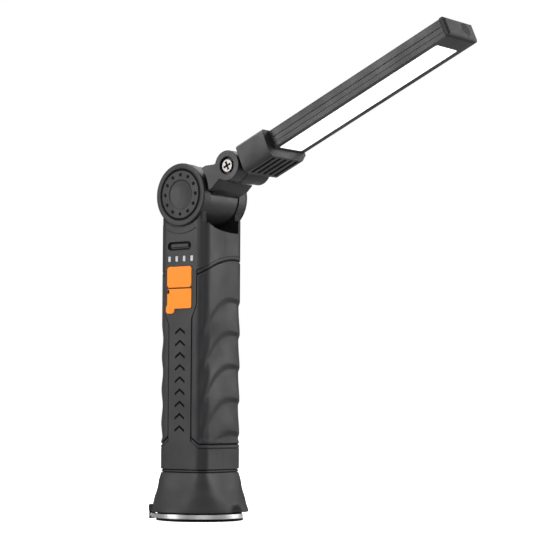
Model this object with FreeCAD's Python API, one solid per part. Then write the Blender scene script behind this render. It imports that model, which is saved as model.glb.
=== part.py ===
# Folding rechargeable work light: handle with battery, magnetic base with
# fold-out hook, ratchet hinge, arm link, and a flat COB lamp head on a screw pivot.
# Millimetres. Origin at the centre of the base's underside, +Z up the handle,
# -Y is the switch side, the hinge axes lie along Y and the lamp leans towards +X.
import FreeCAD, Part
import math
import os
from FreeCAD import Vector as V

os.makedirs("parts", exist_ok=True)

# ---------------------------------------------------------------- dimensions
H = 176.8              # height of the main hinge axis
W, D, RC = 33.2, 35.1, 6.4   # handle section and corner radius
FY, BY = -D / 2, D / 2       # front and back faces
SKIN = 1.6             # rubber grip thickness
CAV_W, CAV_D = 26.4, 30.6    # inside of the handle shells
Z_SHELL = 27.8         # bottom of the handle shells
Z_CAV_TOP = H - 24.0
SADDLE = 20.2          # depth of the saddle below the hinge axis
EAR_R, CAP_R, CAP_PLUG_R = 17.05, 17.2, 15.5
EAR_FRONT_IN, EAR_REAR_IN = -12.6, 11.7
BARREL_R = 16.5
LINK_ANG, LAMP_ANG = 22.7, 23.6
LINK_L = 35.2          # hinge axis to lamp pivot
LINK_T, WAIST_T = 6.8, 4.7   # half thickness of the link, and of its waist
BOSS_R = 8.25
SHOULDER_R = 19.8
LINK_FRONT = -18.3
EAR2_IN = -9.4         # inner face of the link's ear at the lamp pivot
COLLAR_END = 28.8
BAR_Y0, BAR_Y1 = -13.2, 13.2
BAR_TOP, BAR_BOT = 6.1, -4.2
BAR_TIP = 149.5
RIM_R = 27.0           # rim of the base skirt
FOOT_R = 23.7
HOOK_RI, HOOK_RO = 24.25, 26.4
HOOK_A0, HOOK_A1 = 218.2, 372.0   # angles of the hook's pivot and tip
HOOK_AX_R, HOOK_AX_Z = 25.7, 2.75
BATT_R, BATT_L = 9.2, 65.0


# ------------------------------------------------------------------- helpers
def box(x0, x1, y0, y1, z0, z1):
    return Part.makeBox(x1 - x0, y1 - y0, z1 - z0, V(x0, y0, z0))


def cyl_y(r, y0, y1, x=0.0, z=0.0):
    return Part.makeCylinder(r, y1 - y0, V(x, y0, z), V(0, 1, 0))


def cyl_z(r, z0, z1, x=0.0, y=0.0):
    return Part.makeCylinder(r, z1 - z0, V(x, y, z0), V(0, 0, 1))


def cyl_x(r, x0, x1, y=0.0, z=0.0):
    return Part.makeCylinder(r, x1 - x0, V(x0, y, z), V(1, 0, 0))


def rr_wire(w, d, r, z, cx=0.0, cy=0.0):
    a, b, k = w / 2, d / 2, r * (1 - math.sqrt(0.5))
    P = lambda x, y: V(cx + x, cy + y, z)
    e = [Part.LineSegment(P(-a + r, -b), P(a - r, -b)).toShape(),
         Part.Arc(P(a - r, -b), P(a - k, -b + k), P(a, -b + r)).toShape(),
         Part.LineSegment(P(a, -b + r), P(a, b - r)).toShape(),
         Part.Arc(P(a, b - r), P(a - k, b - k), P(a - r, b)).toShape(),
         Part.LineSegment(P(a - r, b), P(-a + r, b)).toShape(),
         Part.Arc(P(-a + r, b), P(-a + k, b - k), P(-a, b - r)).toShape(),
         Part.LineSegment(P(-a, b - r), P(-a, -b + r)).toShape(),
         Part.Arc(P(-a, -b + r), P(-a + k, -b + k), P(-a + r, -b)).toShape()]
    return Part.Wire(e)


def rprism(w, d, r, z0, z1, cx=0.0, cy=0.0):
    return Part.Face(rr_wire(w, d, r, z0, cx, cy)).extrude(V(0, 0, z1 - z0))


def poly_prism(pts, axis, a, b):
    """Prism of a closed polygon. axis x: pts are (y, z); y: (x, z); z: (x, y)."""
    if axis == "x":
        q, d = [V(a, u, v) for u, v in pts], V(b - a, 0, 0)
    elif axis == "y":
        q, d = [V(u, a, v) for u, v in pts], V(0, b - a, 0)
    else:
        q, d = [V(u, v, a) for u, v in pts], V(0, 0, b - a)
    return Part.Face(Part.makePolygon(q + [q[0]])).extrude(d)


def plate_y(w, h, r, y0, y1, cx, cz):
    """Rounded rectangle in the XZ plane, extruded along Y."""
    s = rprism(w, h, r, 0, y1 - y0)
    s.rotate(V(0, 0, 0), V(1, 0, 0), -90)
    s.translate(V(cx, y0, cz))
    return s


def plate_z(w, d, r, z0, z1, cx, cy):
    return rprism(w, d, r, z0, z1, cx, cy)


def hexprism_y(af, y0, y1, x=0.0, z=0.0):
    R = af / math.sqrt(3)
    return poly_prism([(x + R * math.cos(math.radians(60 * i)), z + R * math.sin(math.radians(60 * i)))
                       for i in range(6)], "y", y0, y1)


def ring_y(ro, ri, y0, y1, x=0.0, z=0.0):
    return cyl_y(ro, y0, y1, x, z).cut(cyl_y(ri, y0 - 1, y1 + 1, x, z))


def cut(s, *tools):
    for t in tools:
        s = s.cut(t)
    return s


def fuse(s, *others):
    for o in others:
        s = s.fuse(o)
    return s.removeSplitter()


def save(name, shape):
    solids = shape.Solids
    assert solids, name
    for s in solids:
        assert s.isValid() and s.Volume > 0.01, (name, s.Volume)
    out = solids[0] if len(solids) == 1 else Part.makeCompound(solids)
    out.exportStep("parts/%s.step" % name)
    print("%-24s %2d solid(s) %9.1f mm3" % (name, len(solids), sum(s.Volume for s in solids)))


def link_place(s):
    s = s.copy()
    s.rotate(V(0, 0, 0), V(0, 1, 0), -LINK_ANG)
    s.translate(V(0, 0, H))
    return s


SX = LINK_L * math.cos(math.radians(LINK_ANG))
SZ = H + LINK_L * math.sin(math.radians(LINK_ANG))


def lamp_place(s):
    s = s.copy()
    s.rotate(V(0, 0, 0), V(0, 1, 0), -LAMP_ANG)
    s.translate(V(SX, 0, SZ))
    return s


# ------------------------------------------------------------- handle shells
body = rprism(W, D, RC, Z_SHELL, H - 9.0)
gap_profile = [(EAR_FRONT_IN, H + 30), (EAR_FRONT_IN, H - 16.4), (-9.0, H - 18.0), (-4.0, H - 19.3),
               (2.0, H - 20.0), (6.0, H - SADDLE), (EAR_REAR_IN, H - SADDLE), (EAR_REAR_IN, H + 30)]
mid_gap = poly_prism(gap_profile, "x", -30, 30)
body = cut(body, mid_gap)
for sx in (-1, 1):
    x0, x1 = sorted((sx * 14.0, sx * 30.0))
    body = cut(body, box(x0, x1, -30, EAR_FRONT_IN + 0.001, H - 15.9, H + 30),
               box(x0, x1, EAR_REAR_IN - 0.001, 30, H - 13.0, H + 30))
body = fuse(body, cyl_y(EAR_R, FY, EAR_FRONT_IN, 0, H), cyl_y(EAR_R, EAR_REAR_IN, BY, 0, H))
cavity = rprism(CAV_W, CAV_D, 4.0, Z_SHELL - 1, Z_CAV_TOP)
body = cut(body, cavity)
# hinge bores, bolt head pocket at the front, nut pocket at the back
body = cut(body, cyl_y(CAP_PLUG_R + 0.05, FY - 1, FY + 1.4, 0, H), ring_y(18.0, CAP_R, FY - 1, FY + 0.6, 0, H),
           cyl_y(4.05, -30, 30, 0, H), cyl_y(6.7, FY - 1, -13.4, 0, H),
           hexprism_y(10.1, 13.8, BY + 1, 0, H))
# shallow concentric step below the front cap, and the two grooves round the shells
body = cut(body, ring_y(21.6, 21.1, FY - 1, FY + 0.35, 0, H).common(box(-11, 11, -30, 0, H - 23, H - 17)))

# grips: rubber skin let into both sides, wrapping the corners
layer = rprism(W, D, RC, 38.0, H - 30).cut(rprism(W - 2 * SKIN, D - 2 * SKIN, RC - SKIN, 37.0, H - 29))
edge_xz = [(11.2, H - 20), (11.2, H - 60.0), (7.8, H - 68.0), (7.8, 42.9), (13.2, 38.8), (30, 38.8), (30, H - 20)]
arch_yz = [(-30, 30), (-30, H - 42.0), (-18, H - 41.8), (-15.0, H - 39.6), (-10, H - 37.0), (-4.0, H - 34.8),
           (3.0, H - 33.2), (8.0, H - 32.7), (12.0, H - 32.9), (18.0, H - 34.0), (30, H - 35.0), (30, 30)]
side_r = poly_prism(edge_xz, "y", -30, 30)
edge_left = [(-11.4, H - 20), (-11.4, H - 63.0), (-7.8, H - 71.0), (-7.8, 42.9), (-13.2, 38.8), (-30, 38.8), (-30, H - 20)]
side_l = poly_prism(edge_left, "y", -30, 30)
arch = poly_prism(arch_yz, "x", -30, 30)
grip_pocket_r = layer.common(side_r).common(arch)
grip_pocket_l = layer.common(side_l).common(arch)
body = cut(body, grip_pocket_r, grip_pocket_l)


def scallops(s, sx):
    d = V(0, math.cos(math.radians(40)), math.sin(math.radians(40)))
    for k in range(6):
        c = V(sx * (W / 2 - 0.85 + 14.0), 0, 50.0 + 17.9 * k - 2.0)
        p = c - d * 60
        s = s.cut(Part.makeCylinder(14.0, 120, p, d))
    return s


save("grip_right", scallops(grip_pocket_r, 1))
save("grip_left", scallops(grip_pocket_l, -1))

# controls on the front face
MODE_Z, IND_Z, PWR_Z, USB_Z = H - 28.0, H - 35.0, H - 45.0, H - 56.8
CX = -0.5
mode_recess = plate_y(16.8, 4.6, 2.25, FY - 1, FY + 1.2, CX - 0.5, MODE_Z)
mode_hole = plate_y(12.6, 1.9, 0.9, FY - 1, -14.0, CX - 0.5, MODE_Z + 0.3)
ind_x = (-8.1, -2.9, 2.4, 7.8)
ind_holes = [plate_y(1.9, 3.1, 0.5, FY - 1, -14.0, x, IND_Z) for x in ind_x]
pwr_hole = plate_y(17.5, 11.7, 1.9, FY - 1, -14.0, CX, PWR_Z)
flap_recess = fuse(plate_y(17.3, 11.0, 1.2, FY - 1, FY + 0.75, CX + 0.1, USB_Z),
                   plate_y(6.2, 5.0, 1.8, FY - 1, FY + 0.75, -6.9, H - 62.4))
usb_hole = plate_y(9.6, 4.0, 1.2, FY - 1, -14.0, CX, USB_Z)
body = cut(body, mode_recess, mode_hole, pwr_hole, flap_recess, usb_hole, *ind_holes)

front_shell = body.common(box(-40, 40, -40, 0, 0, 400))
rear_shell = body.common(box(-40, 40, 0, 40, 0, 400))
# fixing screws come in from the back, through the rear shell into front bosses
SCREW_XZ = [(-9.6, 33.0), (9.6, 33.0), (-10.4, H - 29.5), (10.4, H - 29.5)]
for x, z in SCREW_XZ:
    front_shell = fuse(front_shell, cyl_y(2.6, -16.0, 0.0, x, z))
    rear_shell = fuse(rear_shell, cyl_y(2.9, 0.0, 16.0, x, z))
    front_shell = cut(front_shell, cyl_y(1.1, -9.0, 1.0, x, z))
    rear_shell = cut(rear_shell, cyl_y(1.3, -1.0, 20.0, x, z), cyl_y(2.3, 12.5, 20.0, x, z))
save("front_shell", front_shell)
save("rear_shell", rear_shell)
screws = [fuse(cyl_y(1.05, -8.0, 13.0, x, z), cyl_y(2.15, 12.5, 15.6, x, z)).cut(
    hexprism_y(1.6, 14.4, 16.0, x, z)) for x, z in SCREW_XZ]
save("shell_screws", Part.makeCompound(screws))

# ------------------------------------------------------------------ the base
secs = [(53.2, 53.2, 25.9, 5.0), (49.8, 50.2, 23.4, 8.8), (46.0, 46.8, 19.6, 11.5),
        (39.6, 41.2, 12.4, 17.0), (35.7, 37.5, 8.6, 22.5), (W, D, RC, 26.0)]
skirt = Part.makeLoft([rr_wire(w, d, r, z) for w, d, r, z in secs], True, False)
rim = cyl_z(RIM_R, 4.5, 6.4)
neck = rprism(W - 1.3, D - 1.3, RC - 0.65, 26.0, Z_SHELL)
tenon = rprism(CAV_W - 0.1, CAV_D - 0.1, 3.9, Z_SHELL - 0.5, 30.0)
hub = cyl_z(23.2, 1.5, 4.5)
skirt = fuse(skirt, rim, neck, tenon, hub)
ca, sa = math.cos(math.radians(HOOK_A0)), math.sin(math.radians(HOOK_A0))


def at_lug(s):
    """Local x is radial at the hook's pivot, y is tangent, z is up."""
    s = s.copy()
    s.rotate(V(0, 0, 0), V(0, 0, 1), HOOK_A0)
    return s


skirt = fuse(skirt, at_lug(box(24.3, 27.6, -4.4, -2.15, 0.5, 8.4)), at_lug(box(24.3, 27.6, -4.4, 2.4, 4.9, 8.4)),
             at_lug(box(26.9, 27.6, -4.4, 1.2, 0.5, 8.4)))
skirt = cut(skirt, at_lug(box(24.0, 27.05, -2.15, 4.0, 0.0, 4.5)),
            at_lug(Part.makeCylinder(0.82, 12, V(HOOK_AX_R, -6, HOOK_AX_Z), V(0, 1, 0))))
# finger notch over the hook's tip
na = math.radians(362)
notch = Part.makeSphere(8.0, V(31.0 * math.cos(na), 31.0 * math.sin(na), 3.6))
skirt = cut(skirt, notch, rprism(20.0, 22.0, 4.0, 9.0, 40.0), cyl_z(20.3, 0.0, 6.0).cut(cyl_z(9.0, -1, 7.0)))
skirt = cut(skirt, *[cyl_z(1.0, 1.0, 8.0, 6.0 * math.cos(a), 6.0 * math.sin(a))
                     for a in (math.pi / 2, math.pi * 7 / 6, math.pi * 11 / 6)])
save("base_skirt", skirt)
foot = cyl_z(FOOT_R, 0.0, 1.5)
foot_holes = [fuse(cyl_z(1.1, -1, 2, 6.0 * math.cos(a), 6.0 * math.sin(a)),
                   cyl_z(2.1, -1, 0.8, 6.0 * math.cos(a), 6.0 * math.sin(a)))
              for a in (math.pi / 2, math.pi * 7 / 6, math.pi * 11 / 6)]
foot = cut(foot, *foot_holes)
save("foot_plate", foot)
save("foot_screws", Part.makeCompound([
    fuse(cyl_z(0.98, 0.4, 7.5, 6.0 * math.cos(a), 6.0 * math.sin(a)),
         cyl_z(1.95, 0.15, 0.8, 6.0 * math.cos(a), 6.0 * math.sin(a)))
    for a in (math.pi / 2, math.pi * 7 / 6, math.pi * 11 / 6)]))
save("base_magnet", cyl_z(20.2, 2.4, 5.9).cut(cyl_z(9.1, 0, 8)))
save("magnet_yoke", cyl_z(20.2, 1.5, 2.4).cut(cyl_z(9.1, 0, 8)))

# hook: flat steel strip bent round the base, with an eye on its pivot pin
outer = cyl_z(HOOK_RO, 1.6, 3.9).cut(cyl_z(HOOK_RI, 0, 6))
span = []
steps = 14
for i in range(steps + 1):
    a = math.radians(HOOK_A0 + 3.2 + (HOOK_A1 - HOOK_A0 - 3.2) * i / steps)
    span.append((60 * math.cos(a), 60 * math.sin(a)))
wedge = poly_prism([(0, 0)] + span, "z", 0, 6)
hook = outer.common(wedge)
tip_a = math.radians(HOOK_A1)
tip_r = (HOOK_RI + HOOK_RO) / 2
hook = fuse(hook, cyl_z((HOOK_RO - HOOK_RI) / 2, 1.6, 3.9, tip_r * math.cos(tip_a), tip_r * math.sin(tip_a)))
eye = fuse(at_lug(Part.makeCylinder(1.25, 4.0, V(HOOK_AX_R, -2.0, HOOK_AX_Z), V(0, 1, 0))),
           at_lug(box(HOOK_RI + 0.05, HOOK_AX_R, 0.2, 2.0, 1.6, 3.9)))
hook = fuse(hook, eye)
hook = cut(hook, at_lug(Part.makeCylinder(0.86, 12, V(HOOK_AX_R, -6, HOOK_AX_Z), V(0, 1, 0))))
save("hook", hook)
save("hook_pin", at_lug(Part.makeCylinder(0.8, 6.2, V(HOOK_AX_R, -4.3, HOOK_AX_Z), V(0, 1, 0))))

# -------------------------------------------------------------- electronics
BX, BYC, BZ = 0.0, 5.2, 36.6
save("battery_cell", fuse(cyl_z(BATT_R, BZ, BZ + BATT_L, BX, BYC), cyl_z(3.0, BZ + BATT_L, BZ + BATT_L + 0.8, BX, BYC)))
cradle = rprism(25.0, 21.2, 2.0, BZ - 3.2, BZ + 48.0, BX, BYC - 1.0).cut(cyl_z(BATT_R + 0.25, BZ - 2.0, BZ + 60, BX, BYC))
cradle = cradle.cut(box(-20, 20, BYC, 30, BZ - 0.5, BZ + 60))
for x, z in SCREW_XZ:
    cradle = cradle.cut(cyl_y(3.2, -20, 20, x, z))
save("battery_cradle", cradle.common(rprism(CAV_W - 0.2, CAV_D - 0.2, 3.9, Z_SHELL, Z_CAV_TOP)))
save("contact_negative", cyl_z(5.2, BZ - 1.9, BZ - 0.02, BX, BYC).cut(cyl_z(3.6, BZ - 3, BZ, BX, BYC)))
save("contact_positive", box(-4.0, 4.0, BYC - 4.0, BYC + 4.0, BZ + BATT_L + 0.85, BZ + BATT_L + 1.35))
board = box(-11.5, 11.5, -11.6, -10.0, H - 68.0, H - 25.4)
for x, z in SCREW_XZ:
    board = board.cut(cyl_y(3.1, -20, 20, x, z))
save("main_board", board)
save("board_parts", Part.makeCompound([
    box(-8.0, -3.0, -9.98, -8.2, H - 64, H - 59), box(1.0, 6.0, -9.98, -8.6, H - 62, H - 57),
    box(-7.0, -1.0, -9.98, -7.0, H - 50, H - 44), box(2.0, 7.0, -9.98, -8.8, H - 42, H - 38)]))
save("mode_switch", box(CX - 3.5, CX + 2.5, -13.4, -11.62, MODE_Z - 2.6, MODE_Z + 3.0))
save("power_switch", box(CX - 3.0, CX + 3.0, -13.4, -11.62, PWR_Z - 3.0, PWR_Z + 3.0))
save("status_leds", Part.makeCompound([box(x - 0.8, x + 0.8, -12.6, -11.62, IND_Z - 0.8, IND_Z + 0.8) for x in ind_x]))
windows = [plate_y(1.8, 3.0, 0.45, FY + 0.05, -14.6, x, IND_Z) for x in ind_x]
bar_lens = box(-9.5, 9.5, -15.25, -14.2, IND_Z - 2.5, IND_Z + 2.5)
save("indicator_lens", fuse(bar_lens, *windows))
usb = box(CX - 4.3, CX + 4.3, -15.9, -11.62, USB_Z - 1.7, USB_Z + 1.7).cut(
    box(CX - 3.8, CX + 3.8, -17.0, -13.2, USB_Z - 1.2, USB_Z + 1.2))
save("usb_socket", usb)

# moving controls
save("mode_button", fuse(plate_y(12.4, 1.7, 0.8, -17.2, -15.2, CX - 0.5, MODE_Z + 0.3),
                         box(CX - 7.0, CX + 6.4, -15.2, -14.2, MODE_Z - 1.3, MODE_Z + 1.9)))
pwr = fuse(plate_y(17.3, 11.5, 1.8, -18.25, -15.2, CX, PWR_Z),
           box(CX - 9.4, CX + 9.4, -15.2, -14.2, PWR_Z - 6.0, PWR_Z + 6.0))
save("power_button", pwr)
flap = fuse(plate_y(17.1, 10.8, 1.1, -18.15, FY + 0.72, CX + 0.1, USB_Z),
            plate_y(5.9, 4.8, 1.7, -18.15, FY + 0.72, -6.9, H - 62.4),
            plate_y(6.8, 2.0, 0.5, FY + 0.7, -14.9, CX, USB_Z))
flap = flap.cut(box(-20, -7.5, -20, -16.0, H - 53.9, H - 51.9))
save("usb_cover", flap)

# --------------------------------------------------------------- main hinge
capf = fuse(cyl_y(CAP_R, -18.55, FY, 0, H), cyl_y(CAP_PLUG_R, FY, FY + 1.38, 0, H))
dish_r = 20.0
dish = Part.makeSphere(dish_r, V(0, -18.15 + 1.25 - dish_r - 0.4, H))
capf = cut(capf, ring_y(14.0, 13.3, -19, -18.0, 0, H), cyl_y(7.9, -19, -18.15, 0, H), dish.common(cyl_y(7.9, -30, -10, 0, H)))
for i in range(12):
    a = math.radians(30 * i)
    capf = capf.cut(cyl_y(0.85, -19, -18.2, 10.8 * math.cos(a), H + 10.8 * math.sin(a)))
save("hinge_cap_front", capf)
save("hinge_cap_rear", cut(cyl_y(CAP_R, BY, 18.55, 0, H), ring_y(14.0, 13.3, 18.2, 19, 0, H)))
save("hinge_bolt", fuse(cyl_y(4.0, -16.0, 17.2, 0, H), cyl_y(6.5, -16.1, -13.4, 0, H)).cut(
    hexprism_y(5.0, -18.0, -14.8, 0, H)))
save("hinge_nut", hexprism_y(10.0, 13.8, 17.3, 0, H).cut(cyl_y(4.0, 10, 20, 0, H)))


def toothed(s, y0, y1):
    for i in range(12):
        t = box(0, 20, y0, y1, -0.7, 0.7)
        t.rotate(V(0, 0, 0), V(0, 1, 0), 30 * i)
        s = s.cut(t)
    return s


fixed_ring = toothed(ring_y(11.8, 7.0, EAR_FRONT_IN, -10.2), -10.9, -9.0)
fixed_ring.translate(V(0, 0, H))
save("ratchet_ring_fixed", fixed_ring)

# arm link
barrel = cyl_y(BARREL_R, EAR_FRONT_IN + 0.15, EAR_REAR_IN - 0.15)
web = [(0, -LINK_T), (21.8, -LINK_T), (27.4, -WAIST_T), (30.0, -WAIST_T), (30.0, WAIST_T), (27.4, WAIST_T), (21.8, LINK_T), (0, LINK_T)]
arm_mid = poly_prism(web, "y", EAR_FRONT_IN + 0.15, EAR_REAR_IN - 0.15)
arm_front = poly_prism(web, "y", LINK_FRONT, EAR_FRONT_IN + 0.2).common(box(10, 40, -40, 40, -20, 20)).cut(
    cyl_y(SHOULDER_R, -30, 0))
arm_mid = arm_mid.cut(cyl_y(9.6, EAR2_IN, 30, LINK_L))
ear2 = fuse(box(28.0, LINK_L, LINK_FRONT, EAR2_IN, -WAIST_T, WAIST_T), cyl_y(BOSS_R, LINK_FRONT, EAR2_IN, LINK_L))
link = fuse(barrel, arm_mid, arm_front, ear2)
link = cut(link, cyl_y(4.06, -30, 30), cyl_y(12.1, -20, -7.3), cyl_y(9.2, 9.0, 20),
           cyl_y(2.05, -30, 30, LINK_L), cyl_y(4.7, -30, -16.0, LINK_L))
# hollow the link from the back of its web so the lamp's leads can pass
link = cut(link, box(17.5, 23.0, -9.0, 8.5, -4.0, 4.0))
save("link_body", link_place(link))
save("ratchet_ring_link", link_place(toothed(ring_y(12.0, 7.0, -10.1, -7.3), -11.0, -9.4)))
save("detent_spring", link_place(ring_y(9.0, 4.3, 9.05, 11.4)))
save("pivot_screw", link_place(fuse(cyl_y(2.0, -16.0, 9.0, LINK_L), cyl_y(3.4, -17.9, -16.0, LINK_L)).cut(
    box(LINK_L - 2.4, LINK_L + 2.4, -18.5, -17.2, -0.45, 0.45)).cut(
    box(LINK_L - 0.45, LINK_L + 0.45, -18.5, -17.2, -2.4, 2.4))))
save("pivot_nut", link_place(hexprism_y(7.0, 5.6, 8.6, LINK_L).cut(cyl_y(2.0, 0, 20, LINK_L))))
save("pivot_washer", link_place(ring_y(7.4, 2.1, EAR2_IN, EAR2_IN + 0.5, LINK_L)))

# ---------------------------------------------------------------- lamp head
CY0, CY1 = -18.3, 14.4
TY0, TY1 = -8.82, 9.8
prof = [(CY0, 5.4), (CY0 + 1.1, 6.65), (CY1 - 1.2, 6.65), (CY1, 5.4), (CY1, -5.2), (9.6, -9.35),
        (-16.7, -9.35), (CY0, -6.75)]
collar = poly_prism(prof, "x", 5.0, COLLAR_END)
collar = collar.cut(box(0, 9.35, -30, 30, -20, 20))
collar = fuse(collar, box(4.0, 12.0, TY0, TY1, -6.6, 6.6), cyl_y(8.1, TY0, TY1))
collar = cut(collar, cyl_y(9.2, -30, TY0 - 0.001), cyl_y(9.2, TY1 + 0.001, 30))
mouth = box(21.0, COLLAR_END + 1, BAR_Y0 - 0.03, BAR_Y1 + 0.03, BAR_BOT - 0.03, BAR_TOP + 0.03)
collar = cut(collar, mouth, cyl_y(2.06, -30, 30), cyl_y(4.35, 5.5, 30), box(8.0, 22.0, -6.0, -1.0, -2.0, 2.0))
for i in range(5):
    y = -13.4 + i * 4.9
    collar = collar.cut(box(10.8, 27.6, y - 1.1, y + 1.1, -10.5, -8.25))
save("lamp_collar", lamp_place(collar))

HOUS_Z = -1.4
X0, X1 = 21.1, 146.6
hous = box(X0, X1, BAR_Y0, BAR_Y1, HOUS_Z, BAR_TOP)
top_edges = [e for e in hous.Edges if abs(e.CenterOfMass.z - BAR_TOP) < 1e-6 and abs(e.CenterOfMass.x - (X0 + X1) / 2) < 1e-6]
hous = hous.makeFillet(1.3, top_edges)
hous = cut(hous, box(X0 + 2.0, X1 - 2.5, BAR_Y0 + 1.6, BAR_Y1 - 1.6, HOUS_Z - 1, 4.5))
hous = cut(hous, box(X0 + 9.0, X1 + 1, BAR_Y0 - 1, BAR_Y0 + 0.25, 1.35, 1.65),
           box(X0 + 9.0, X1 + 1, BAR_Y1 - 0.25, BAR_Y1 + 1, 1.35, 1.65))
save("lamp_housing", lamp_place(hous))
WX0, WX1, WY0, WY1 = 30.2, 138.6, -9.9, 9.3
bez = box(X0, X1, BAR_Y0, BAR_Y1, BAR_BOT, HOUS_Z)
bez = cut(bez, plate_z(WX1 - WX0, WY1 - WY0, 1.2, BAR_BOT - 1, HOUS_Z + 1, (WX0 + WX1) / 2, (WY0 + WY1) / 2),
          box(X0 + 9.0, X1 + 1, BAR_Y0 - 1, BAR_Y0 + 0.12, HOUS_Z - 0.12, HOUS_Z + 1),
          box(X0 + 9.0, X1 + 1, BAR_Y1 - 0.12, BAR_Y1 + 1, HOUS_Z - 0.12, HOUS_Z + 1))
save("lamp_bezel", lamp_place(bez))
save("cob_board", lamp_place(box(25.0, 143.8, -11.2, 11.2, HOUS_Z + 0.02, HOUS_Z + 1.4)))
save("cob_phosphor", lamp_place(box(32.5, 136.5, -7.8, 7.8, HOUS_Z - 0.7, HOUS_Z + 0.02)))
save("cob_lens", lamp_place(plate_z(WX1 - WX0 - 0.1, WY1 - WY0 - 0.1, 1.15, BAR_BOT + 0.1, HOUS_Z - 0.75,
                                    (WX0 + WX1) / 2, (WY0 + WY1) / 2)))
save("heat_spreader", lamp_place(box(25.0, 143.8, -11.2, 11.2, HOUS_Z + 1.42, HOUS_Z + 2.6)))
TYC, TZC = 4.2, 1.0   # the torch sits off centre in the tip
tip_prof = box(X1, BAR_TIP, BAR_Y0, BAR_Y1, BAR_BOT, BAR_TOP)
tip = tip_prof.makeChamfer(0.9, [e for e in tip_prof.Edges if abs(e.CenterOfMass.x - BAR_TIP) < 1e-6])
tip = cut(tip, cyl_x(3.5, X1 - 1, BAR_TIP + 1, TYC, TZC))
save("tip_cap", lamp_place(tip))
save("torch_lens", lamp_place(cyl_x(3.45, BAR_TIP - 1.4, BAR_TIP - 0.1, TYC, TZC)))
refl = cyl_x(3.45, X1 + 0.02, BAR_TIP - 1.42, TYC, TZC)
refl = refl.cut(Part.makeCone(1.3, 3.1, BAR_TIP - 1.42 - X1 - 0.5, V(X1 + 0.5, TYC, TZC), V(1, 0, 0)))
refl = refl.cut(cyl_x(1.3, X1 - 1, X1 + 1, TYC, TZC))
save("torch_reflector", lamp_place(refl))
save("torch_led", lamp_place(fuse(cyl_x(1.25, X1 + 0.02, X1 + 0.5, TYC, TZC))))
save("lead_grommet", lamp_place(box(12.0, 14.0, -5.9, -1.1, -1.9, 1.9)))
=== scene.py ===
import bpy
import bmesh
import math
from mathutils import Vector, Matrix


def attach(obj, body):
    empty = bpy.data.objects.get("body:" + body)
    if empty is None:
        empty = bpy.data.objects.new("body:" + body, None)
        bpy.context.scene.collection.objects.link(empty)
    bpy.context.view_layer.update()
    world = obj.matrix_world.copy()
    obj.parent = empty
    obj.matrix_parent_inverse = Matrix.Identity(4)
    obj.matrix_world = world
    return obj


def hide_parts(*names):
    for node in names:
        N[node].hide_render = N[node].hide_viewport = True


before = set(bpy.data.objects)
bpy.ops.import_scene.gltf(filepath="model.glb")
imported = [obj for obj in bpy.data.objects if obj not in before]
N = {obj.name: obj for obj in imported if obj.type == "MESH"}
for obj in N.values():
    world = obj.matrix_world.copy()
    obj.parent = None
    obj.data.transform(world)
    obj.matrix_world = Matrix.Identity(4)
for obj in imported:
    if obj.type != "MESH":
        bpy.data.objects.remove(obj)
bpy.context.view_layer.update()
MM = 0.001
H = 176.8
W, D, FY = 33.2, 35.1, -17.55
LINK_ANG, LAMP_ANG, LINK_L = math.radians(22.7), math.radians(23.6), 35.2
SX, SZ = LINK_L * math.cos(LINK_ANG), H + LINK_L * math.sin(LINK_ANG)

scene = bpy.context.scene


# ------------------------------------------------------------------ materials
def node(nt, kind, x=0, y=0, **props):
    n = nt.nodes.new(kind)
    n.location = (x, y)
    for k, v in props.items():
        setattr(n, k, v)
    return n


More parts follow.
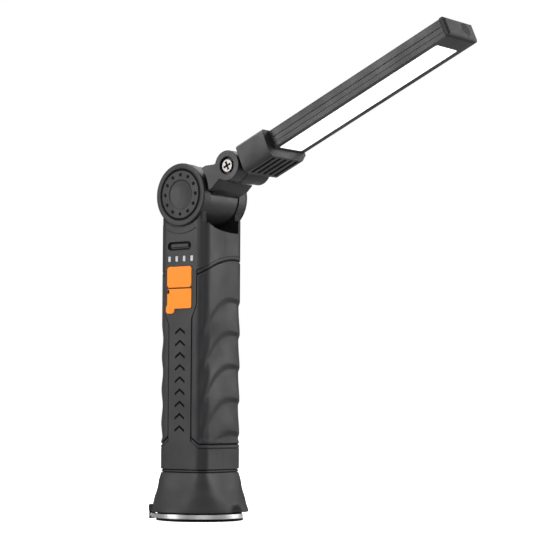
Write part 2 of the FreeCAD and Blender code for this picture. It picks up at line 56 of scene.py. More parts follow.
def surface(name, base, rough=0.5, metal=0.0, grain=2600.0, bump=0.25, bump_mm=0.03, vary=0.10, rough_vary=0.10,
            wear=0.35, wear_col=None, coat=0.0, sheen=0.0, edge_mm=0.35, aniso=None, emission=None, sss=0.0, spec=0.5):
    m = bpy.data.materials.new(name)
    m.use_nodes = True
    nt = m.node_tree
    nt.nodes.clear()
    L = nt.links.new
    out = node(nt, "ShaderNodeOutputMaterial", 900, 0)
    p = node(nt, "ShaderNodeBsdfPrincipled", 600, 0)
    L(p.outputs[0], out.inputs[0])
    tc = node(nt, "ShaderNodeTexCoord", -1200, 0)
    mp = node(nt, "ShaderNodeMapping", -1000, 0)
    L(tc.outputs["Object"], mp.inputs[0])
    if aniso:
        mp.inputs["Scale"].default_value = aniso
    fine = node(nt, "ShaderNodeTexNoise", -750, 250)
    fine.inputs["Scale"].default_value = grain
    fine.inputs["Detail"].default_value = 3.0
    L(mp.outputs[0], fine.inputs["Vector"])
    pores = node(nt, "ShaderNodeTexVoronoi", -750, 0)
    pores.inputs["Scale"].default_value = grain * 0.6
    L(mp.outputs[0], pores.inputs["Vector"])
    broad = node(nt, "ShaderNodeTexNoise", -750, -250)
    broad.inputs["Scale"].default_value = 55.0
    broad.inputs["Detail"].default_value = 5.0
    L(tc.outputs["Object"], broad.inputs["Vector"])
    # colour: broad mottling, fine grain, and worn edges
    ramp = node(nt, "ShaderNodeMapRange", -500, -250)
    ramp.inputs["From Min"].default_value = 0.3
    ramp.inputs["From Max"].default_value = 0.7
    ramp.inputs["To Min"].default_value = 1.0 - vary
    ramp.inputs["To Max"].default_value = 1.0 + vary
    L(broad.outputs["Fac"], ramp.inputs["Value"])
    g2 = node(nt, "ShaderNodeMapRange", -500, 250)
    g2.inputs["From Min"].default_value = 0.3
    g2.inputs["From Max"].default_value = 0.7
    g2.inputs["To Min"].default_value = 1.0 - vary * 0.8
    g2.inputs["To Max"].default_value = 1.0 + vary * 0.8
    L(fine.outputs["Fac"], g2.inputs["Value"])
    mul = node(nt, "ShaderNodeMath", -300, 0, operation="MULTIPLY")
    L(ramp.outputs[0], mul.inputs[0])
    L(g2.outputs[0], mul.inputs[1])
    col = node(nt, "ShaderNodeVectorMath", -120, 100, operation="SCALE")
    col.inputs[0].default_value = base
    L(mul.outputs[0], col.inputs["Scale"])
    bev = node(nt, "ShaderNodeBevel", -700, -550, samples=4)
    bev.inputs["Radius"].default_value = edge_mm * MM
    geo = node(nt, "ShaderNodeNewGeometry", -700, -750)
    dot = node(nt, "ShaderNodeVectorMath", -500, -600, operation="DOT_PRODUCT")
    L(bev.outputs[0], dot.inputs[0])
    L(geo.outputs["Normal"], dot.inputs[1])
    ed = node(nt, "ShaderNodeMapRange", -300, -600)
    ed.inputs["From Min"].default_value = 0.995
    ed.inputs["From Max"].default_value = 0.80
    ed.inputs["To Min"].default_value = 0.0
    ed.inputs["To Max"].default_value = 1.0
    L(dot.outputs["Value"], ed.inputs["Value"])
    wn = node(nt, "ShaderNodeMath", -120, -500, operation="MULTIPLY")
    L(ed.outputs[0], wn.inputs[0])
    L(broad.outputs["Fac"], wn.inputs[1])
    ws = node(nt, "ShaderNodeMath", 40, -500, operation="MULTIPLY")
    ws.inputs[1].default_value = wear * 1.6
    L(wn.outputs[0], ws.inputs[0])
    mix = node(nt, "ShaderNodeMix", 150, 100, data_type="RGBA")
    wc = wear_col or tuple(min(1.0, c * 1.7 + 0.01) for c in base)
    L(ws.outputs[0], mix.inputs["Factor"])
    L(col.outputs[0], mix.inputs["A"])
    mix.inputs["B"].default_value = (*wc, 1)
    L(mix.outputs["Result"], p.inputs["Base Color"])
    rr = node(nt, "ShaderNodeMapRange", 150, -150)
    rr.inputs["From Min"].default_value = 0.3
    rr.inputs["From Max"].default_value = 0.7
    rr.inputs["To Min"].default_value = max(0.02, rough - rough_vary)
    rr.inputs["To Max"].default_value = min(1.0, rough + rough_vary)
    L(broad.outputs["Fac"], rr.inputs["Value"])
    L(rr.outputs[0], p.inputs["Roughness"])
    hmix = node(nt, "ShaderNodeMath", -300, 400, operation="SUBTRACT")
    L(fine.outputs["Fac"], hmix.inputs[0])
    L(pores.outputs["Distance"], hmix.inputs[1])
    bp = node(nt, "ShaderNodeBump", 300, -400)
    bp.inputs["Strength"].default_value = bump
    bp.inputs["Distance"].default_value = bump_mm * MM
    L(hmix.outputs[0], bp.inputs["Height"])
    L(bev.outputs[0], bp.inputs["Normal"])
    L(bp.outputs[0], p.inputs["Normal"])
    p.inputs["Metallic"].default_value = metal
    p.inputs["Specular IOR Level"].default_value = spec
    p.inputs["Coat Weight"].default_value = coat
    p.inputs["Coat Roughness"].default_value = 0.15
    p.inputs["Sheen Weight"].default_value = sheen
    p.inputs["Sheen Roughness"].default_value = 0.5
    if sss:
        p.inputs["Subsurface Weight"].default_value = sss
        p.inputs["Subsurface Scale"].default_value = 0.002
    if emission:
        c, s = emission
        # rows of chips under the diffuser: a faint pattern in the glow
        w = node(nt, "ShaderNodeTexVoronoi", 100, 500)
        w.inputs["Scale"].default_value = 300.0
        w.inputs["Randomness"].default_value = 0.0
        L(tc.outputs["Object"], w.inputs["Vector"])
        er = node(nt, "ShaderNodeMapRange", 300, 500)
        er.inputs["To Min"].default_value = s * 1.08
        er.inputs["To Max"].default_value = s * 0.9
        L(w.outputs["Distance"], er.inputs["Value"])
        L(er.outputs[0], p.inputs["Emission Strength"])
        p.inputs["Emission Color"].default_value = (*c, 1)
    return m


M = {
    "shell": surface("shell_black", (0.0125, 0.0125, 0.0135), 0.53, grain=3200, bump=0.3, wear=0.30, spec=0.38),
    "head": surface("head_black", (0.0145, 0.0145, 0.0145), 0.45, grain=3000, bump=0.3, wear=0.30, spec=0.38),
    "grip": surface("grip_rubber", (0.0120, 0.0122, 0.0140), 0.55, grain=1900, bump=0.35, wear=0.15, sheen=0.05, edge_mm=0.2, spec=0.36),
    "orange": surface("accent_orange", (0.88, 0.235, 0.013), 0.45, grain=2600, bump=0.18, vary=0.05, wear=0.25,
                      wear_col=(1.0, 0.38, 0.08), sss=0.03, spec=0.18),
    "bright": surface("bright_steel", (0.55, 0.55, 0.55), 0.30, 1.0, grain=1400, bump=0.08, vary=0.04, wear=0.2,
                      wear_col=(0.95, 0.95, 0.95), rough_vary=0.05, aniso=(1, 1, 14)),
    "steel": surface("zinc_steel", (0.50, 0.50, 0.51), 0.33, 1.0, grain=1500, bump=0.12, vary=0.08, wear=0.3),
    "magnet": surface("nickel_magnet", (0.42, 0.42, 0.44), 0.28, 1.0, grain=900, bump=0.08, vary=0.08),
    "foot": surface("foot_rubber", (0.007, 0.007, 0.007), 0.65, grain=1700, bump=0.4, wear=0.15, spec=0.15),
    "cell": surface("cell_sleeve", (0.05, 0.17, 0.50), 0.25, grain=1500, bump=0.05, coat=0.4),
    "inner": surface("inner_plastic", (0.07, 0.07, 0.07), 0.55, grain=2500, bump=0.3),
    "nickel": surface("nickel_plate", (0.66, 0.63, 0.56), 0.25, 1.0, grain=1200, bump=0.08, vary=0.06),
    "board": surface("solder_mask", (0.015, 0.13, 0.05), 0.32, grain=900, bump=0.2, coat=0.3),
    "chip": surface("chip_black", (0.02, 0.02, 0.021), 0.5, grain=2500, bump=0.25),
    "led": surface("led_white", (0.9, 0.9, 0.85), 0.3, grain=1500, bump=0.05, vary=0.03),
    "window": surface("indicator_white", (0.36, 0.37, 0.38), 0.3, grain=1500, bump=0.05, vary=0.02, wear=0.0,
                      emission=((0.93, 0.97, 1.0), 0.06)),
    "cob": surface("cob_diffuser", (0.95, 0.95, 0.95), 0.35, grain=1300, bump=0.05, vary=0.01, wear=0.0,
                   emission=((1.0, 1.0, 1.0), 1.1)),
    "phosphor": surface("phosphor", (0.9, 0.75, 0.2), 0.5, grain=900, bump=0.2),
    "alu": surface("aluminium", (0.78, 0.78, 0.80), 0.35, 1.0, grain=1300, bump=0.15, vary=0.05, aniso=(1, 9, 1)),
    "mirror": surface("reflector", (0.88, 0.88, 0.88), 0.08, 1.0, grain=1200, bump=0.03, vary=0.02, rough_vary=0.03),
    "mark": surface("engraving_black", (0.0015, 0.0015, 0.0015), 0.85, grain=2600, bump=0.2, wear=0.05, spec=0.08),
    # painted shade: a near-black material laid on grooves, slits, recesses and the faces between parts, standing in for
    # the shade that falls there
    "painted_shade": surface("painted_shade_black", (0.003, 0.003, 0.0035), 0.75, grain=2600, bump=0.3, wear=0.1, spec=0.15),
    "screw": surface("pivot_steel", (0.21, 0.205, 0.19), 0.36, 1.0, grain=1500, bump=0.12, vary=0.08, wear=0.15),
    # painted shade: a deeper black, less glossy shell colour for the side faces of the cut-outs beside the arm,
    # standing in for the shade there
    "notch_shade": surface("shell_painted_shade", (0.0070, 0.0070, 0.0075), 0.62, grain=3200, bump=0.3, wear=0.10, spec=0.20),
    "tip": surface("tip_black", (0.0100, 0.0100, 0.0102), 0.50, grain=3000, bump=0.3, wear=0.30, spec=0.26),
}
lens = surface("torch_glass", (0.004, 0.004, 0.005), 0.06, grain=900, bump=0.02, vary=0.03, rough_vary=0.02, wear=0.1, coat=0.8)
lens.node_tree.nodes["Principled BSDF"].inputs["Transmission Weight"].default_value = 0.05
M["torch"] = lens

LOOK = {
    "front_shell": "shell", "rear_shell": "shell", "grip_right": "grip", "grip_left": "grip", "shell_screws": "steel",
    "base_skirt": "shell", "foot_plate": "foot", "foot_screws": "steel", "base_magnet": "magnet",
    "magnet_yoke": "steel", "hook": "bright", "hook_pin": "steel", "battery_cell": "cell",
    "battery_cradle": "inner", "contact_negative": "nickel", "contact_positive": "nickel", "main_board": "board",
    "board_parts": "chip", "mode_switch": "chip", "power_switch": "chip", "status_leds": "led",
    "indicator_lens": "window", "usb_socket": "nickel", "mode_button": "shell", "power_button": "orange",
    "usb_cover": "orange", "hinge_cap_front": "shell", "hinge_cap_rear": "shell", "hinge_bolt": "steel",
    "hinge_nut": "steel", "ratchet_ring_fixed": "steel", "link_body": "head", "ratchet_ring_link": "steel",
    "detent_spring": "steel", "pivot_screw": "screw", "pivot_nut": "steel", "pivot_washer": "inner",
    "lamp_collar": "head", "lamp_housing": "head", "lamp_bezel": "head", "cob_board": "alu", "cob_phosphor": "phosphor",
    "cob_lens": "cob", "heat_spreader": "alu", "tip_cap": "tip", "torch_lens": "torch", "torch_reflector": "mirror",
    "torch_led": "led", "lead_grommet": "foot"}
for n, key in LOOK.items():
    o = N[n]
    o.data.materials.clear()
    o.data.materials.append(M[key])



def shade(o, key, test):
    """Give the faces of a piece for which test(centre in mm, normal) is true a second material; here it paints shade
    into recesses and cut-outs.
    """
    o.data.materials.append(M[key])
    for f in o.data.polygons:
        if test((o.matrix_world @ f.center) / MM, f.normal):
            f.material_index = 1


# painted shade: the cross recess of the pivot screw gets the near-black shade material, and the side faces of the
# cut-outs beside the arm a deeper black shell colour, standing in for the shade in them
shade(N["pivot_screw"], "painted_shade", lambda c, n: -17.85 < c.y < -16.3 and math.hypot(c.x - SX, c.z - SZ) < 2.4)
for n in ("front_shell", "rear_shell"):
    shade(N[n], "notch_shade", lambda c, n: abs(n.x) > 0.9 and 13.8 < abs(c.x) < 14.2 and c.z > 156.0)

# rounded moulded edges on the pieces that are seen
ROUND = {"front_shell": 0.30, "rear_shell": 0.30, "link_body": 0.45, "lamp_collar": 0.35, "lamp_housing": 0.12,
         "lamp_bezel": 0.12, "tip_cap": 0.25, "foot_plate": 0.25, "power_button": 0.55, "usb_cover": 0.30,
         "mode_button": 0.25, "hinge_cap_rear": 0.45, "hook": 0.25, "pivot_screw": 0.15}


def rounded(o, mm, angle=32):
    w = o.modifiers.new("weld", "WELD")
    w.merge_threshold = 0.000004
    d = o.modifiers.new("flat", "DECIMATE")
    d.decimate_type = "DISSOLVE"
    d.angle_limit = math.radians(0.6)
    b = o.modifiers.new("round", "BEVEL")
    b.width = mm * MM
    b.segments = 3
    b.limit_method = "ANGLE"
    b.angle_limit = math.radians(angle)
    b.use_clamp_overlap = True
    b.miter_outer = "MITER_ARC"
    b.harden_normals = True
    at = o.data.attributes.get("custom_normal")
    if at:
        o.data.attributes.remove(at)
    o.data.polygons.foreach_set("use_smooth", [True] * len(o.data.polygons))


for n, mm in ROUND.items():
    rounded(N[n], mm)


# ---------------------------------------------------------------- mesh helpers
def piece(name, verts, faces, mat, body, smooth=True, sharp=None, painted_shade_mask=None):
    me = bpy.data.meshes.new(name)
    me.from_pydata([tuple(c * MM for c in v) for v in verts], [], faces)
    me.validate()
    bm = bmesh.new()
    bm.from_mesh(me)
    bmesh.ops.remove_doubles(bm, verts=bm.verts, dist=0.000002)
    bmesh.ops.recalc_face_normals(bm, faces=bm.faces)
    bm.to_mesh(me)
    bm.free()
    me.polygons.foreach_set("use_smooth", [smooth] * len(me.polygons))
    if sharp:
        me.set_sharp_from_angle(angle=math.radians(sharp))
    me.materials.append(M[mat])
    # painted shade: faces picked by the mask get the near-black shade material
    if painted_shade_mask:
        me.materials.append(M["painted_shade"])
        for p in me.polygons:
            if painted_shade_mask(p.center.x / MM, p.center.y / MM, p.center.z / MM):
                p.material_index = 1
    o = bpy.data.objects.new(name, me)
    scene.collection.objects.link(o)
    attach(o, body)
    return o


def sstep(a, b, x):
    t = min(1.0, max(0.0, (x - a) / (b - a)))
    return t * t * (3 - 2 * t)


def lathe_y(profile, cx, cz, seg=128, mod=None):
    """Closed profile of (radius, y) revolved about a Y axis."""
    vs, fs = [], []
    n = len(profile)
    for i in range(seg):
        a = 2 * math.pi * i / seg
        for r, y in profile:
            dy = mod(r, a, y) if mod else 0.0
            vs.append((cx + r * math.cos(a), y + dy, cz + r * math.sin(a)))
    for i in range(seg):
        j = (i + 1) % seg
        for k in range(n - 1):
            fs.append((i * n + k, i * n + k + 1, j * n + k + 1, j * n + k))
    return vs, fs


def catmull(tab, z):
    zs = [t[0] for t in tab]
    vsx = [t[1] for t in tab]
    if z <= zs[0]:
        return vsx[0]
    if z >= zs[-1]:
        return vsx[-1]
    i = max(k for k in range(len(zs) - 1) if zs[k] <= z)
    h = zs[i + 1] - zs[i]
    t = (z - zs[i]) / h

    def slope(k):
        if k == 0:
            return (vsx[1] - vsx[0]) / (zs[1] - zs[0])
        if k == len(zs) - 1:
            return (vsx[-1] - vsx[-2]) / (zs[-1] - zs[-2])
        return (vsx[k + 1] - vsx[k - 1]) / (zs[k + 1] - zs[k - 1])
    m0, m1 = slope(i) * h, slope(i + 1) * h
    t2, t3 = t * t, t * t * t
    return (2 * t3 - 3 * t2 + 1) * vsx[i] + (t3 - 2 * t2 + t) * m0 + (-2 * t3 + 3 * t2) * vsx[i + 1] + (t3 - t2) * m1


# --------------------------------------------------------------- rubber grips
RCOR = 6.4
FLATX, FLATY = W / 2 - RCOR, D / 2 - RCOR     # straight half lengths
ARC = math.pi / 2 * RCOR


def perimeter(s, off=0.0):
    """s = 0 in the middle of the +X side, positive towards +Y; returns x, y and the outward normal."""
    q = abs(s)
    sg = 1 if s >= 0 else -1
    if q <= FLATY:
        return W / 2 + off, s, 1.0, 0.0
    if q <= FLATY + ARC:
        a = (q - FLATY) / RCOR
        return (FLATX + (RCOR + off) * math.cos(a), sg * (FLATY + (RCOR + off) * math.sin(a)),
                math.cos(a), sg * math.sin(a))
    return FLATX - (q - FLATY - ARC), sg * (D / 2 + off), 0.0, float(sg)


def s_of_front_x(x):
    return FLATY + ARC + (FLATX - x)


def arch(y):
    pts = [(-30, -42.0), (-18, -41.8), (-15, -39.6), (-10, -37.0), (-4, -34.8), (3, -33.2), (8, -32.7), (12, -32.9), (18, -34.0), (30, -35.0)]
    return H + catmull(pts, y)


def leaf(y, z):
    """Shingled, twisted finger ridges: crest on an arc, steep below it and easing out to the next one."""
    c = 121.6 - 0.040 * max(0.0, 4.0 - y) ** 2 - 0.018 * max(0.0, y - 4.0) ** 2
    t = (z - c) / 18.1
    if t > 0.0:
        return 0.0                     # plain above the first crest
    f = t - math.floor(t)              # 0 just above a crest, 1 just below the next
    width = 0.30 - 0.010 * (y + 4)
    width = min(0.42, max(0.14, width))
    steep = sstep(1.0 - width, 1.0, f)
    ease = sstep(0.0, 1.0 - width, f)
    return -1.15 * (ease * (1 - steep))


def make_grip(name, sx, node_name):
    z_up, z_lo = (H - 60.0, H - 68.0) if sx > 0 else (H - 63.0, H - 71.0)
    xe = 11.2 if sx > 0 else 11.4
    s_in, s_top = s_of_front_x(7.8), s_of_front_x(xe)
    s_bot = s_of_front_x(13.2) if 13.2 < FLATX else FLATY + ARC - RCOR * math.asin(min(1, (13.2 - FLATX) / RCOR))
    smax = s_in - 0.05

    def zlims(s):
        x, y, nx, ny = perimeter(s)
        q = abs(s)
        zl = 38.85 if x >= 13.2 else 38.85 + (13.2 - x) / (13.2 - 7.8) * 4.1
        if x >= xe:
            zh = arch(y)
        else:
            zh = z_lo + (x - 7.8) / (xe - 7.8) * (z_up - z_lo)
        return zl, zh - 0.05

    cols = []
    m = 110
    for i in range(m + 1):
        cols.append(-smax + 2 * smax * i / m)
    for sg in (-1, 1):
        cols += [sg * (s_top - 0.03), sg * (s_top + 0.03)]
    cols = sorted(cols)
    rows = 330
    vs, fs = [], []
    n = rows + 1
    base_in = len(cols) * n
    outer, inner = [], []
    for s in cols:
        zl, zh = zlims(s)
        x0, y0, nx, ny = perimeter(s)
        for j in range(n):
            z = zl + (zh - zl) * j / rows
            # distance to the border of the pad, on the unrolled skin
            d = min(z - zl, arch(y0) - z if x0 >= xe else 99.0)
            side = smax - abs(s)
            if z > z_up:
                side = s_top - abs(s)
            elif z > z_lo:
                side = s_in - abs(s) + (s_top - s_in) * (z - z_lo) / (z_up - z_lo)
            side = max(0.0, side)
            # bead along the top and bottom borders, single groove along the panel
            bead = min(z - zl, (arch(y0) - z) if abs(s) <= s_top + 0.2 else 99.0)
            h = 0.0
            h -= 0.42 * (1 - sstep(0.0, 0.45, bead))
            h -= 0.75 * math.exp(-((bead - 2.35) / 0.42) ** 2) if bead < 6 else 0.0
            h -= 0.60 * (1 - sstep(0.0, 0.75, side))
            inside = sstep(2.6, 6.5, bead) * sstep(FLATY + ARC * 0.90, FLATY + ARC * 0.15, abs(s))
            rear = sstep(FLATY + ARC * 1.0, FLATY + ARC * 0.2, abs(s))
            h += leaf(y0, z) * sstep(2.6, 6.0, bead) * (inside if y0 < 0 else rear)
            # soft crease where the side meets the front strip
            if y0 < 0:
                h -= 0.30 * math.exp(-((abs(s) - FLATY - ARC * 0.62) / 0.9) ** 2) * sstep(2.6, 5.0, bead)
            x, y, _, _ = perimeter(s, h)
            outer.append((sx * x, y, z))
            x, y, _, _ = perimeter(s, -1.58)
            inner.append((sx * x, y, z))
    vs = outer + inner
    k = len(cols)
    for i in range(k - 1):
        for j in range(rows):
            a = i * n + j
            fs.append((a, a + 1, a + n + 1, a + n))
            b = base_in + a
            fs.append((b, b + n, b + n + 1, b + 1))
    for j in range(rows):
        for i in (0, k - 1):
            a = i * n + j
            fs.append((a, a + 1, base_in + a + 1, base_in + a))
    for i in range(k - 1):
        for j in (0, rows):
            a = i * n + j
            fs.append((a, a + n, base_in + a + n, base_in + a))
    def rim_painted_shade(x, y, z):
        # painted shade on the grip: faces in the border groove and on the sunk edges of the pad get the near-black
        # shade material; depth below the pad's plain outline
        ax, ay = abs(x), abs(y)
        if ax > FLATX and ay > FLATY:
            depth = RCOR - math.hypot(ax - FLATX, ay - FLATY)
        else:
            depth = min(W / 2 - ax, D / 2 - ay)
        bead = min(z - 38.85, arch(y) - z)
        if 1.2 < bead < 3.4 and depth > 0.36 and ax > 6.5:
            return True
        return depth > 0.26 and (bead < 0.4 or ax < 12.0 and ay > D / 2 - 1.2 and bead > 3.4)

    o = piece(name, vs, fs, "grip", "handle", sharp=60, painted_shade_mask=rim_painted_shade)
    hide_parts(node_name)


make_grip("grip_skin_right", 1, "grip_right")
make_grip("grip_skin_left", -1, "grip_left")


# ----------------------------------------------------------------- base skirt
def lerp_tab(tab, z):
    if z <= tab[0][0]:
        return tab[0][1]
    for (a, u), (b, v) in zip(tab, tab[1:]):
        if z <= b:
            t = (z - a) / (b - a)
            return u + (v - u) * t
    return tab[-1][1]


SKA = [(4.6, 26.85), (6.2, 26.45), (8.8, 24.6), (11.5, 22.75), (17.0, 19.5), (22.5, 17.6), (25.5, 16.6)]
SKN = [(4.6, 2.0), (6.2, 2.0), (8.8, 2.25), (11.5, 2.7), (17.0, 3.8), (22.5, 5.1), (25.5, 5.75)]
NOTCH = math.radians(4.0)


def skirt_r(a, z, inset=0.0):
    sc, n = catmull(SKA, z) - inset, catmull(SKN, z)
    c, s = abs(math.cos(a)), abs(math.sin(a))
    k = 1.0 + 0.057 * sstep(8.0, 25.0, z)
    r = ((c / sc) ** n + (s / (sc * k)) ** n) ** (-1.0 / n)
    da = (a - NOTCH + math.pi) % (2 * math.pi) - math.pi
    r -= 4.2 * math.exp(-(da / 0.20) ** 2) * sstep(9.6, 4.9, z)
    return r


seg = 256
zs = [4.70, 4.76, 4.9, 5.15, 5.5, 6.0] + [6.2 + 0.35 * i for i in range(55)] + [25.5, 25.65, 25.8, 25.88]
rings = [[(0.0, None, 1.5)], ]
rows = []
rows.append(("hub", 1.5))
rows.append(("hub", 4.5))
vs, fs = [], []
prof = []
for i in range(seg):
    a = 2 * math.pi * i / seg
    col = [(9.2, 1.52), (23.1, 1.52), (23.1, 4.4)]
    r0 = skirt_r(a, 4.6)
    col += [(r0 - 0.6, 4.58), (r0 - 0.14, 4.68)]
    for z in zs[2:]:
        rr = skirt_r(a, min(z, 25.5))
        if z > 25.5:
            rr -= (z - 25.5) * 0.5
        col.append((rr, z))
    n2 = 5.75
    c, s = abs(math.cos(a)), abs(math.sin(a))
    rn = ((c / 15.95) ** n2 + (s / (15.95 * 1.057)) ** n2) ** (-1.0 / n2)
    rb = ((c / 16.45) ** n2 + (s / (16.45 * 1.057)) ** n2) ** (-1.0 / n2)
    rt = ((c / 13.0) ** n2 + (s / 15.0) ** n2) ** (-1.0 / n2)
    col += [(rn + 0.1, 25.92), (rn, 26.05), (rn, 26.25), (rb - 0.1, 26.4), (rb, 26.5), (rb, 27.15), (rb - 0.1, 27.25),
            (rn, 27.4), (rn, 27.76), (rt, 27.78), (rt, 29.9), (9.2, 29.9)]
    prof.append([(r * math.cos(a), r * math.sin(a), z) for r, z in col])
nn = len(prof[0])
for col in prof:
    vs += col
for i in range(seg):
    j = (i + 1) % seg
    for k in range(nn):
        k2 = (k + 1) % nn
        fs.append((i * nn + k, i * nn + k2, j * nn + k2, j * nn + k))
# painted shade: the underside lip and the two grooves at the top of the skirt get the near-black shade material
sk = piece("base_skirt_moulding", vs, fs, "shell", "handle", sharp=38,
           painted_shade_mask=lambda x, y, z: z < 4.72 or 25.95 < z < 26.35 or 27.3 < z < 27.8)

# lug that carries the hook's pin
A0 = math.radians(218.2)
ca, sa = math.cos(A0), math.sin(A0)


def lug_pt(r, t, z):
    return (r * ca - t * sa, r * sa + t * ca, z)


def cells(xs, ys, zs, full, tf=lambda x, y, z: (x, y, z)):
    """Closed mesh round the filled cells of a small grid."""
    vs, ix, fs = [], {}, []

    def vi(i, j, k):
        if (i, j, k) not in ix:
            ix[(i, j, k)] = len(vs)
            vs.append(tf(xs[i], ys[j], zs[k]))
        return ix[(i, j, k)]
    for i, j, k in full:
        for d, corners in (((-1, 0, 0), ((0, 0, 0), (0, 0, 1), (0, 1, 1), (0, 1, 0))), ((1, 0, 0), ((1, 0, 0), (1, 1, 0), (1, 1, 1), (1, 0, 1))),
                           ((0, -1, 0), ((0, 0, 0), (1, 0, 0), (1, 0, 1), (0, 0, 1))), ((0, 1, 0), ((0, 1, 0), (0, 1, 1), (1, 1, 1), (1, 1, 0))),
                           ((0, 0, -1), ((0, 0, 0), (0, 1, 0), (1, 1, 0), (1, 0, 0))), ((0, 0, 1), ((0, 0, 1), (1, 0, 1), (1, 1, 1), (0, 1, 1)))):
            if (i + d[0], j + d[1], k + d[2]) not in full:
                fs.append(tuple(vi(i + a, j + b, k + c) for a, b, c in corners))
    return vs, fs


lv, lf = cells((24.3, 27.0, 27.6), (-4.4, -2.15, 1.2, 4.9), (0.5, 4.8, 8.4),
               {(0, 0, 0), (1, 0, 0), (1, 1, 0), (0, 0, 1), (1, 0, 1), (0, 1, 1), (1, 1, 1), (0, 2, 1), (1, 2, 1)}, lug_pt)
lug = piece("hook_lug", lv, lf, "shell", "handle", smooth=True)
fl = lug.modifiers.new("flat", "DECIMATE")
fl.decimate_type = "DISSOLVE"
fl.angle_limit = math.radians(1.0)
bv = lug.modifiers.new("round", "BEVEL")
bv.width = 0.40 * MM
bv.segments = 4
bv.limit_method = "ANGLE"
bv.angle_limit = math.radians(40)
bv.harden_normals = True
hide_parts("base_skirt")

# -------------------------------------------------------------- front hinge cap
def cap_profile():
    p = [(0.0, -16.22), (15.3, -16.22), (15.45, -16.4), (15.45, -17.56), (16.9, -17.56), (17.2, -17.75)]
    for i in range(7):
        a = math.pi / 2 * i / 6
        p.append((17.2 - 0.75 * (1 - math.cos(a)), -17.85 - 0.70 * math.sin(a)))
    p += [(16.0, -18.55), (14.55, -18.53), (14.25, -18.42), (13.95, -17.98), (13.62, -17.80), (13.30, -17.98),
          (13.05, -18.40), (12.85, -18.50)]
    p += [(12.85 - 0.22 * i, -18.50) for i in range(1, 20)]
    p += [(8.45, -18.49), (8.2, -18.42), (7.95, -18.22), (7.75, -18.02), (7.4, -17.92)]
    p += [(7.0 - 0.5 * i, -17.30 - (math.sqrt(400.0) - 20.0) - (20.0 - math.sqrt(400.0 - (7.0 - 0.5 * i) ** 2)) * 0.52) for i in range(14)] + [(0.0, -17.30)]
    return p


def dimple(r, a, y):
    if not 8.6 < r < 12.8 or y > -18.3:
        return 0.0
    k = round(a / (math.pi / 6)) * (math.pi / 6)
    dx, dz = r * math.cos(a) - 10.8 * math.cos(k), r * math.sin(a) - 10.8 * math.sin(k)
    q = math.hypot(dx, dz)
    return 0.60 * (1 - sstep(0.50, 1.15, q))


vs, fs = lathe_y(cap_profile(), 0, H, 420, dimple)


# painted shade on the dial: the ring groove, the dimples and the back of the rim get the near-black shade material
def cap_painted_shade(x, y, z):
    r = math.hypot(x, z - H)
    if 13.1 < r < 14.2 and -18.36 < y < -17.7:
        return True
    return 8.6 < r < 12.8 and -18.2 < y < -17.7 or r > 17.0 and y > -17.8


cap = piece("hinge_cap_dial", vs, fs, "shell", "handle", sharp=70, painted_shade_mask=cap_painted_shade)
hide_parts("hinge_cap_front")

# ------------------------------------------ engraved row of chevrons on the panel
cv, cf = [], []
nchev = 9
for i in range(nchev):
    zc = 50.0 + 6.6 * i
    for sgn in (-1, 1):
        pts = [(0.0, zc + 1.6), (sgn * 3.4, zc - 0.9), (sgn * 3.4, zc - 2.2), (0.0, zc + 0.3)]
        b = len(cv)
        cv += [(x, FY - 0.10, z) for x, z in pts] + [(x, FY + 0.05, z) for x, z in pts]
        cf += [(b, b + 1, b + 2, b + 3), (b + 7, b + 6, b + 5, b + 4)]
        cf += [(b + k, b + 4 + k, b + 4 + (k + 1) % 4, b + (k + 1) % 4) for k in range(4)]
chev = piece("panel_chevrons", cv, cf, "mark", "handle", smooth=False)

# painted shade: a near-black sheet laid on the floor of the recess round the mode button, standing in for the shade
# there
def rr_ring(cx, cz, w0, h0, r0, w1, h1, r1, y0, y1, seg=10):
    loops = []
    for w, h, r in ((w0, h0, r0), (w1, h1, r1)):
        lp = []
        for qx, qz, a0 in ((1, 1, 0), (-1, 1, 90), (-1, -1, 180), (1, -1, 270)):
            for i in range(seg + 1):
                a = math.radians(a0 + 90.0 * i / seg)
                lp.append((cx + qx * (w / 2 - r) + r * math.cos(a), cz + qz * (h / 2 - r) + r * math.sin(a)))
        loops.append(lp)
    n = len(loops[0])
    vs = [(x, y, z) for y in (y0, y1) for lp in loops for x, z in lp]
    fs = []
    for i in range(n):
        j = (i + 1) % n
        fs += [(i, j, n + j, n + i), (2 * n + i, 3 * n + i, 3 * n + j, 2 * n + j), (i, 2 * n + i, 2 * n + j, j),
               (n + i, n + j, 3 * n + j, 3 * n + i)]
    return vs, fs


vs, fs = rr_ring(-1.0, H - 28.0, 16.6, 4.4, 2.15, 13.0, 2.5, 1.1, FY + 1.08, FY + 1.19)
recess_shade_sheet = piece("mode_recess_painted_shade", vs, fs, "painted_shade", "handle", smooth=False)

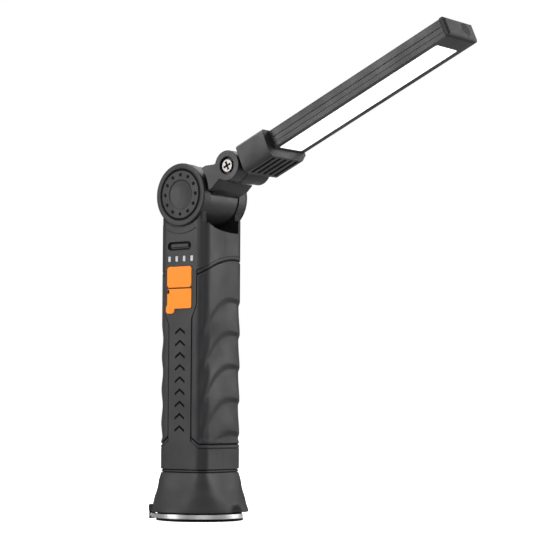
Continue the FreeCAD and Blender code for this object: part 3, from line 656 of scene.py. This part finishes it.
# --------------------------------------------------------------- stage and light
def stage_mesh():
    vs, fs = [(0.0, 0.0, -0.00005)], []
    radii = (0.1, 0.3, 1.0, 3.0, 12.0)
    for r in radii:
        vs += [(r * math.cos(2 * math.pi * i / 72), r * math.sin(2 * math.pi * i / 72), -0.00005) for i in range(72)]
    for i in range(72):
        fs.append((0, 1 + i, 1 + (i + 1) % 72))
        for k in range(len(radii) - 1):
            a, b = 1 + 72 * k, 1 + 72 * (k + 1)
            fs.append((a + i, b + i, b + (i + 1) % 72, a + (i + 1) % 72))
    me = bpy.data.meshes.new("floor")
    me.from_pydata(vs, [], fs)
    me.polygons.foreach_set("use_smooth", [True] * len(me.polygons))
    m = bpy.data.materials.new("floor_paper")
    m.use_nodes = True
    nt = m.node_tree
    p = nt.nodes["Principled BSDF"]
    nz = nt.nodes.new("ShaderNodeTexNoise")
    nz.inputs["Scale"].default_value = 30
    mr = nt.nodes.new("ShaderNodeMapRange")
    mr.inputs["To Min"].default_value = 0.80
    mr.inputs["To Max"].default_value = 0.84
    nt.links.new(nz.outputs["Fac"], mr.inputs["Value"])
    cb = nt.nodes.new("ShaderNodeCombineColor")
    for k in range(3):
        nt.links.new(mr.outputs[0], cb.inputs[k])
    # the paper glows softly for the view, and bounces only a little light up at the object
    lp = nt.nodes.new("ShaderNodeLightPath")
    dim = nt.nodes.new("ShaderNodeMapRange")
    dim.inputs["To Min"].default_value = 0.30
    dim.inputs["To Max"].default_value = 1.0
    nt.links.new(lp.outputs["Is Camera Ray"], dim.inputs["Value"])
    sc = nt.nodes.new("ShaderNodeVectorMath")
    sc.operation = "SCALE"
    nt.links.new(cb.outputs[0], sc.inputs[0])
    nt.links.new(dim.outputs[0], sc.inputs["Scale"])
    nt.links.new(sc.outputs[0], p.inputs["Base Color"])
    glow = nt.nodes.new("ShaderNodeMapRange")
    glow.inputs["To Min"].default_value = 0.10
    glow.inputs["To Max"].default_value = 0.78
    nt.links.new(lp.outputs["Is Camera Ray"], glow.inputs["Value"])
    nt.links.new(glow.outputs[0], p.inputs["Emission Strength"])
    p.inputs["Roughness"].default_value = 0.9
    p.inputs["Specular IOR Level"].default_value = 0.1
    p.inputs["Emission Color"].default_value = (1.0, 1.0, 1.0, 1)
    me.materials.append(m)
    o = bpy.data.objects.new("floor", me)
    scene.collection.objects.link(o)


stage_mesh()
w = bpy.data.worlds.new("studio")
scene.world = w
w.use_nodes = True
w.node_tree.nodes["Background"].inputs[0].default_value = (1.0, 1.0, 1.0, 1)
wl = w.node_tree.nodes.new("ShaderNodeLightPath")
wr = w.node_tree.nodes.new("ShaderNodeMapRange")
wr.inputs["To Min"].default_value = 0.30
wr.inputs["To Max"].default_value = 1.0
w.node_tree.links.new(wl.outputs["Is Camera Ray"], wr.inputs["Value"])
w.node_tree.links.new(wr.outputs[0], w.node_tree.nodes["Background"].inputs[1])
scene.view_settings.view_transform = "Standard"

S = 0.55
az, el = math.radians(38.24), math.radians(-4.03)
back = Vector((math.sin(az) * math.cos(el), -math.cos(az) * math.cos(el), math.sin(el)))
right = Vector((math.cos(az), math.sin(az), 0))
target = (Vector((0, 0, 248.31)) + right * 69.17) * S * MM
loc = target + back * 1913.0 * S * MM


def area(name, direction, dist, size, power, color=(1, 1, 1)):
    ld = bpy.data.lights.new(name, "AREA")
    ld.shape = "RECTANGLE"
    ld.size, ld.size_y = size
    ld.energy = power
    ld.color = color
    o = bpy.data.objects.new(name, ld)
    scene.collection.objects.link(o)
    tgt = Vector((0.03, 0, 0.13))
    o.location = tgt + direction.normalized() * dist
    o.rotation_euler = (tgt - o.location).to_track_quat("-Z", "Y").to_euler()
    return o


upv = Vector((0, 0, 1))
area("key_left", back * 0.42 - right * 1.0 + upv * 0.32, 0.8, (0.35, 0.9), 6.5)
area("side_right", -back * 0.05 + right * 1.0 + upv * 0.25, 0.75, (0.28, 0.9), 6.0)
area("top", back * 0.25 - right * 0.1 + upv * 1.0, 1.0, (0.8, 0.5), 5.4)
area("front_soft", back * 1.0 + right * 0.15 + upv * 0.25, 1.2, (0.7, 0.7), 2.4)
area("floor_wash", -back * 0.9 + upv * 1.2, 1.6, (2.0, 1.2), 24.0)

cam_data = bpy.data.cameras.new("camera")
cam = bpy.data.objects.new("camera", cam_data)
scene.collection.objects.link(cam)
cam_data.sensor_width = 36.0
cam_data.lens = 1909.0 / 541.0 * 36.0
cam_data.clip_start, cam_data.clip_end = 0.01, 50.0
cam.location = loc
rot = Matrix((right, back.cross(right), back)).transposed().to_4x4()
cam.rotation_euler = (rot @ Matrix.Rotation(math.radians(0.28), 4, "Z")).to_euler()
scene.camera = cam
